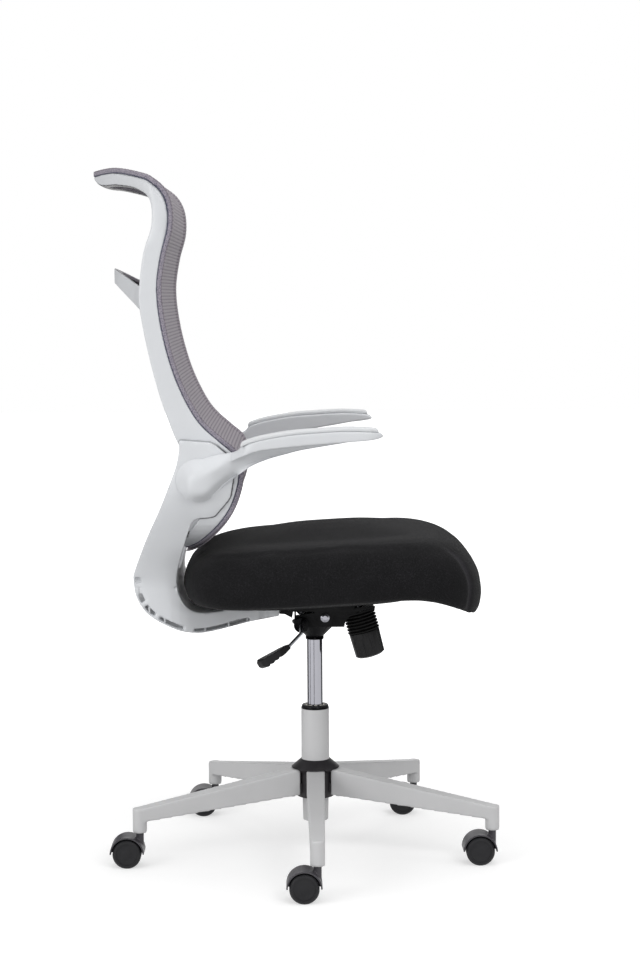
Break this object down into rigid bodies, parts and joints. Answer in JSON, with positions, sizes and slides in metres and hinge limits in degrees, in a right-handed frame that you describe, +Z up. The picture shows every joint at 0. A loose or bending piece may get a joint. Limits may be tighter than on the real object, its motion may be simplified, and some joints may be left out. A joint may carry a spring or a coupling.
{
  "type": "office chair",
  "caption": "Swivel office chair with a ribbed mesh back in a hoop frame, a J-shaped back support, flip-up arms, a padded tilting seat and a star base on twin-wheel casters.",
  "frame": {"origin": "on the floor, on the axis of the gas lift", "axes": "+X forward, +Y to the chair's left, +Z up"},
  "size_m": [0.703, 0.6395, 1.2128],
  "materials": {
    "light_grey": "satin",
    "pad_grey": "soft satin",
    "base_grey": "satin",
    "dark_grey": "matte",
    "black_plastic": "satin",
    "mech_black": "satin",
    "hub_black": "satin",
    "hood_grey": "satin",
    "wheel_black": "satin",
    "white_plastic": "matte",
    "rubber_black": "matte",
    "steel": "brushed",
    "spring_steel": "oiled",
    "chrome": "polished",
    "seat_fabric": "woven",
    "mesh_fabric": "ribbed mesh",
    "band_fabric": "woven edge"
  },
  "bodies": {
    "base": {"hub": "hub_black", "star_legs": "base_grey", "leg_screws": "steel", "column_tube": "base_grey", "column_collar": "black_plastic", "guide_bush": "white_plastic", "thrust_bearing": "steel"},
    "rod": {"piston_rod": "chrome", "rod_clip": "steel"},
    "lift": {"gas_cylinder": "chrome", "mech_housing": "mech_black", "tension_spring": "spring_steel", "ribbed_sleeve": "rubber_black"},
    "release": {"release_pin": "steel"},
    "lever": {"lever_rod": "steel", "lever_paddle": "black_plastic"},
    "tilt": {"seat_plate": "mech_black", "pivot_studs": "chrome", "tension_bolt": "steel", "seat_pan": "black_plastic", "seat_cushion": "seat_fabric", "seat_screws": "steel", "back_support": "light_grey", "support_screws": "steel", "back_frame": "light_grey", "back_mesh": "mesh_fabric", "mesh_band": "band_fabric", "frame_screws": "steel", "coat_hanger": "light_grey", "hanger_facing": "dark_grey", "arm_pins": "steel"},
    "washer": {"thrust_washer": "steel"},
    "knob": {"tension_knob": "black_plastic"},
    "right_arm": {"arm_right": "light_grey", "arm_pad_right": "pad_grey"},
    "left_arm": {"arm_left": "light_grey", "arm_pad_left": "pad_grey"},
    "caster_1": {"caster_hood_1": "hood_grey", "caster_stem_1": "steel"},
    "right_wheel_1": {"wheel_right_1": "wheel_black"},
    "left_wheel_1": {"wheel_left_1": "wheel_black"},
    "caster_2": {"caster_hood_2": "hood_grey", "caster_stem_2": "steel"},
    "right_wheel_2": {"wheel_right_2": "wheel_black"},
    "left_wheel_2": {"wheel_left_2": "wheel_black"},
    "caster_3": {"caster_hood_3": "hood_grey", "caster_stem_3": "steel"},
    "right_wheel_3": {"wheel_right_3": "wheel_black"},
    "left_wheel_3": {"wheel_left_3": "wheel_black"},
    "caster_4": {"caster_hood_4": "hood_grey", "caster_stem_4": "steel"},
    "right_wheel_4": {"wheel_right_4": "wheel_black"},
    "left_wheel_4": {"wheel_left_4": "wheel_black"},
    "caster_5": {"caster_hood_5": "hood_grey", "caster_stem_5": "steel"},
    "right_wheel_5": {"wheel_right_5": "wheel_black"},
    "left_wheel_5": {"wheel_left_5": "wheel_black"}
  },
  "joints": [
    {"name": "seat_swivel", "type": "hinge", "parent": "base", "child": "rod", "pos_m": [0, 0, 0.1], "axis": [0, 0, 1], "continuous": true},
    {"name": "seat_height", "type": "slide", "parent": "rod", "child": "lift", "axis": [0, 0, 1], "range_m": [-0.1, 0]},
    {"name": "height_lever", "type": "hinge", "parent": "lift", "child": "lever", "pos_m": [-0.024, -0.066, 0.419], "axis": [0, 1, 0], "range_deg": [0, 8], "stiffness_Nm_per_rad": 0.6, "springref_deg": -28.65},
    {"name": "valve_pin", "type": "slide", "parent": "lift", "child": "release", "axis": [0, 0, -1], "range_m": [0, 0.0043]},
    {"name": "seat_tilt", "type": "hinge", "parent": "lift", "child": "tilt", "pos_m": [0.018, 0, 0.431], "axis": [0, -1, 0], "range_deg": [0, 12], "stiffness_Nm_per_rad": 90, "springref_deg": -28.65, "deforming": ["tension_spring", "ribbed_sleeve"]},
    {"name": "spring_preload", "type": "slide", "parent": "tilt", "child": "washer", "axis": [-0.2588, 0, 0.9659], "range_m": [0, 0.008]},
    {"name": "tension_turn", "type": "hinge", "parent": "washer", "child": "knob", "pos_m": [0.0778, 0, 0.4366], "axis": [-0.2588, 0, 0.9659], "range_deg": [0, 1440]},
    {"name": "right_arm_flip", "type": "hinge", "parent": "tilt", "child": "right_arm", "pos_m": [-0.19485, -0.25, 0.69013], "axis": [0, -1, 0], "range_deg": [0, 90]},
    {"name": "left_arm_flip", "type": "hinge", "parent": "tilt", "child": "left_arm", "pos_m": [-0.19485, 0.25, 0.69013], "axis": [0, -1, 0], "range_deg": [0, 90]},
    {"name": "caster_swivel_1", "type": "hinge", "parent": "base", "child": "caster_1", "pos_m": [0, -0.325, 0.05], "axis": [0, 0, 1], "continuous": true},
    {"name": "right_wheel_spin_1", "type": "hinge", "parent": "caster_1", "child": "right_wheel_1", "pos_m": [-0.022, -0.3384, 0.025], "axis": [0, 1, 0], "continuous": true},
    {"name": "left_wheel_spin_1", "type": "hinge", "parent": "caster_1", "child": "left_wheel_1", "pos_m": [-0.022, -0.3116, 0.025], "axis": [0, 1, 0], "continuous": true},
    {"name": "caster_swivel_2", "type": "hinge", "parent": "base", "child": "caster_2", "pos_m": [0.30909, -0.10043, 0.05], "axis": [0, 0, 1], "continuous": true},
    {"name": "right_wheel_spin_2", "type": "hinge", "parent": "caster_2", "child": "right_wheel_2", "pos_m": [0.28709, -0.11383, 0.025], "axis": [0, 1, 0], "continuous": true},
    {"name": "left_wheel_spin_2", "type": "hinge", "parent": "caster_2", "child": "left_wheel_2", "pos_m": [0.28709, -0.08703, 0.025], "axis": [0, 1, 0], "continuous": true},
    {"name": "caster_swivel_3", "type": "hinge", "parent": "base", "child": "caster_3", "pos_m": [0.19103, 0.26293, 0.05], "axis": [0, 0, 1], "continuous": true},
    {"name": "right_wheel_spin_3", "type": "hinge", "parent": "caster_3", "child": "right_wheel_3", "pos_m": [0.16903, 0.24953, 0.025], "axis": [0, 1, 0], "continuous": true},
    {"name": "left_wheel_spin_3", "type": "hinge", "parent": "caster_3", "child": "left_wheel_3", "pos_m": [0.16903, 0.27633, 0.025], "axis": [0, 1, 0], "continuous": true},
    {"name": "caster_swivel_4", "type": "hinge", "parent": "base", "child": "caster_4", "pos_m": [-0.19103, 0.26293, 0.05], "axis": [0, 0, 1], "continuous": true},
    {"name": "right_wheel_spin_4", "type": "hinge", "parent": "caster_4", "child": "right_wheel_4", "pos_m": [-0.21303, 0.24953, 0.025], "axis": [0, 1, 0], "continuous": true},
    {"name": "left_wheel_spin_4", "type": "hinge", "parent": "caster_4", "child": "left_wheel_4", "pos_m": [-0.21303, 0.27633, 0.025], "axis": [0, 1, 0], "continuous": true},
    {"name": "caster_swivel_5", "type": "hinge", "parent": "base", "child": "caster_5", "pos_m": [-0.30909, -0.10043, 0.05], "axis": [0, 0, 1], "continuous": true},
    {"name": "right_wheel_spin_5", "type": "hinge", "parent": "caster_5", "child": "right_wheel_5", "pos_m": [-0.33109, -0.11383, 0.025], "axis": [0, 1, 0], "continuous": true},
    {"name": "left_wheel_spin_5", "type": "hinge", "parent": "caster_5", "child": "left_wheel_5", "pos_m": [-0.33109, -0.08703, 0.025], "axis": [0, 1, 0], "continuous": true}
  ],
  "couplings": [
    {"joint": "valve_pin", "follows": "height_lever", "m_per_rad": 0.0301},
    {"joint": "spring_preload", "follows": "tension_turn", "m_per_rad": 0.00031831}
  ]
}
